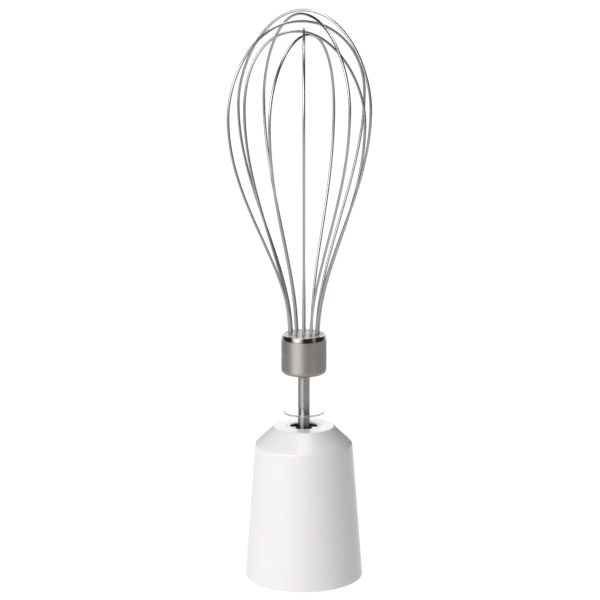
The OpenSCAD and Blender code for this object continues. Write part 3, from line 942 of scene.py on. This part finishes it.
def eased(rise):
    """A part of the way from 0 to 1, eased at both ends."""
    f = max(0, min(1, rise))
    return f * f * (3 - 2 * f)


def loop_angle(index, rise):
    """Direction of a loop's plane at a height over its foot, from the front, in radians."""
    turn, belly = LOOPS[index][0], LOOPS[index][3]
    even = math.radians(180 / len(LOOPS) * index + turn * eased(rise / belly))
    return even + PLUG_TURN * (1 - eased(rise / SETTLE_HEIGHT))


def loop_path(index, circle, foot_z):
    """The whole loop, up one side and down the other, with the direction across it."""
    sides = []
    for side in (1, -1):
        points = []
        for p in loop_side(LOOPS[index], side, circle, foot_z):
            a = loop_angle(index, p.y - foot_z)
            points.append(Vector((side * p.x * math.sin(a), -side * p.x * math.cos(a), p.y)))
        sides.append(points)
    path = [p * MM for p in sides[0] + sides[1][-2::-1]]
    across = []
    for p in path:
        a = loop_angle(index, p.z / MM - foot_z)
        across.append(Vector((math.cos(a), math.sin(a), 0)))
    return path, across


class WHISK_OT_wires(bpy.types.Operator):
    """Sweep the wire loops of the balloon"""

    bl_idname = "whisk.wires"
    bl_label = "Wire loops"

    def execute(self, context):
        sizes = context.scene.whisk_sizes
        circle, foot_z = millimetres(sizes.wire_circle), top_of("wire_plug") - FOOT_DEPTH
        for index in range(len(LOOPS)):
            path, across = loop_path(index, circle, foot_z)
            wire = swept(f"wire_{index + 1}", path, across, sizes.wire_radius,
                         sizes.wire_sides)
            placed(wire, "whisk", "wire_steel", f"wire_loop_{index + 1}")
        return {"FINISHED"}


# ---------------------------------------------------------------- stage

# The floor's radius in metres, how far it lies under the object, and the light it gives.
TABLE_RADIUS = 1.1
FLOOR_GAP = 0.02 * MM
FLOOR_GLOW = 1.0

# Strength of the room as the object sees it, and as the camera does.
ROOM_DIM = 0.04
ROOM_SEEN = 1.05

# Azimuth and elevation in degrees, distance and size in metres, and power in watts.
SOFTBOXES = {
    "key softbox": (-38, 24, 1.2, (2.2, 1.4), 24),
    "overhead softbox": (0, 90, 1.3, (1.0, 1.0), 12),
    "back softbox": (180, 16, 1.1, (1.2, 0.8), 3.4),
    "side strip": (54, 15, 1.1, (0.7, 0.9), 0.6),
}
LIGHT_AIM = Vector((0, 0, 0.12))
# A softbox's fade runs from 0 at its edges to 1 in its middle. From this much of the fade
# inward its cloth has its full strength.
FADE_FULL = 0.7
FULL_STRENGTH = 2.2

# The camera's lens and sensor in millimetres, place in metres, and tilt down in degrees.
CAMERA_LENS = 146.2
CAMERA_SENSOR = 36
CAMERA_SHIFT = -0.0065
CAMERA_PLACE = (0, -1.0, 0.338)
CAMERA_TILT = 12.27
CAMERA_CLIP = (0.05, 60)


def softbox(name, azimuth, elevation, distance, size, power):
    """A softbox whose cloth is bright in the middle and fades to its edges. Azimuth 0
    stands at the camera's side, and negative is left."""
    data = bpy.data.lights.new(name, "AREA")
    data.shape = "RECTANGLE"
    data.size, data.size_y = size
    data.energy = power
    data.use_nodes = True
    tree = data.node_tree
    tree.nodes.clear()
    cloth = add_node(tree, "ShaderNodeNewGeometry").outputs["Parametric"]
    centred = add_node(tree, "ShaderNodeMapping", {
        "Vector": cloth, "Location": (-1, -1, 0), "Scale": (2, 2, 1),
    })
    fade = add_node(tree, "ShaderNodeTexGradient", {"Vector": centred.outputs[0]},
                    gradient_type="SPHERICAL")
    level = add_node(tree, "ShaderNodeMapRange", {
        "Value": fade.outputs["Fac"], "From Max": FADE_FULL, "To Max": FULL_STRENGTH,
    }, interpolation_type="SMOOTHSTEP")
    light = add_node(tree, "ShaderNodeEmission", {"Strength": level.outputs[0]})
    add_node(tree, "ShaderNodeOutputLight", {"Surface": light.outputs[0]})
    lamp = bpy.data.objects.new(name, data)
    a, e = math.radians(azimuth), math.radians(elevation)
    away = Vector((math.sin(a) * math.cos(e), -math.cos(a) * math.cos(e), math.sin(e)))
    lamp.location = LIGHT_AIM + away * distance
    lamp.rotation_euler = away.to_track_quat("Z", "Y").to_euler()
    lamp.visible_camera = False
    bpy.context.scene.collection.objects.link(lamp)


def studio_world(dim, seen):
    """A dim room round the table, which the camera itself sees as plain white."""
    world = bpy.data.worlds.new("Room")
    world.use_nodes = True
    tree = world.node_tree
    tree.nodes.clear()
    camera_ray = add_node(tree, "ShaderNodeLightPath").outputs["Is Camera Ray"]
    level = add_node(tree, "ShaderNodeMapRange", {
        "Value": camera_ray, "To Min": dim, "To Max": seen,
    })
    light = add_node(tree, "ShaderNodeBackground", {
        "Color": (1, 1, 1, 1), "Strength": level.outputs[0],
    })
    add_node(tree, "ShaderNodeOutputWorld", {"Surface": light.outputs[0]})
    bpy.context.scene.world = world


class WHISK_OT_stage(bpy.types.Operator):
    """Set the floor, the lights and the camera"""

    bl_idname = "whisk.stage"
    bl_label = "Stage"

    def execute(self, context):
        scene = context.scene
        scene.view_settings.view_transform = "Standard"
        camera_data = bpy.data.cameras.new("camera")
        camera_data.lens = CAMERA_LENS
        camera_data.sensor_width = CAMERA_SENSOR
        camera_data.shift_x = CAMERA_SHIFT
        camera_data.clip_start, camera_data.clip_end = CAMERA_CLIP
        camera = bpy.data.objects.new("camera", camera_data)
        camera.location = CAMERA_PLACE
        camera.rotation_euler = (math.radians(90 - CAMERA_TILT), 0, 0)
        scene.collection.objects.link(camera)
        scene.camera = camera
        ground = bmesh.new()
        bmesh.ops.create_circle(ground, cap_ends=True, segments=96, radius=TABLE_RADIUS,
                                matrix=Matrix.Translation((0, 0, -FLOOR_GAP)))
        floor = finished_object("floor", ground)
        floor.modifiers.clear()
        floor.data.materials.append(lit_acrylic(
            "Acrylic opal lit from below", scene.whisk_colours.floor, FLOOR_GLOW,
        ))
        for name, setting in SOFTBOXES.items():
            softbox(name, *setting)
        studio_world(ROOM_DIM, ROOM_SEEN)
        return {"FINISHED"}


class WHISK_PT_panel(bpy.types.Panel):
    """Sizes, colours and steps of the whisk attachment"""

    bl_idname = "WHISK_PT_panel"
    bl_label = "Whisk Attachment"
    bl_space_type = "VIEW_3D"
    bl_region_type = "UI"
    bl_category = "Whisk"

    def draw(self, context):
        scene = context.scene
        for group in (scene.whisk_housing, scene.whisk_socket, scene.whisk_sizes,
                      scene.whisk_colours):
            box = self.layout.box()
            for name in group.__annotations__:
                box.prop(group, name)
        for step in STEPS:
            self.layout.operator(step.bl_idname)


STEPS = (
    WHISK_OT_materials,
    WHISK_OT_housing,
    WHISK_OT_hub_cap,
    WHISK_OT_shaft,
    WHISK_OT_drip_disc,
    WHISK_OT_ferrule,
    WHISK_OT_plug,
    WHISK_OT_wires,
    WHISK_OT_stage,
)
GROUPS = {
    "whisk_housing": WhiskHousingSizes,
    "whisk_socket": WhiskSocketSizes,
    "whisk_sizes": WhiskSizes,
    "whisk_colours": WhiskColours,
}


def register():
    for group in GROUPS.values():
        bpy.utils.register_class(group)
    for step in STEPS:
        bpy.utils.register_class(step)
    bpy.utils.register_class(WHISK_PT_panel)
    for name, group in GROUPS.items():
        setattr(bpy.types.Scene, name, PointerProperty(type=group))


def unregister():
    for name in GROUPS:
        delattr(bpy.types.Scene, name)
    bpy.utils.unregister_class(WHISK_PT_panel)
    for step in reversed(STEPS):
        bpy.utils.unregister_class(step)
    for group in reversed(GROUPS.values()):
        bpy.utils.unregister_class(group)


def main():
    register()
    bpy.ops.whisk.materials()
    bpy.ops.whisk.housing()
    bpy.ops.whisk.hub_cap()
    bpy.ops.whisk.shaft()
    bpy.ops.whisk.drip_disc()
    bpy.ops.whisk.ferrule()
    bpy.ops.whisk.plug()
    bpy.ops.whisk.wires()
    bpy.ops.whisk.stage()


if __name__ == "__main__":
    main()
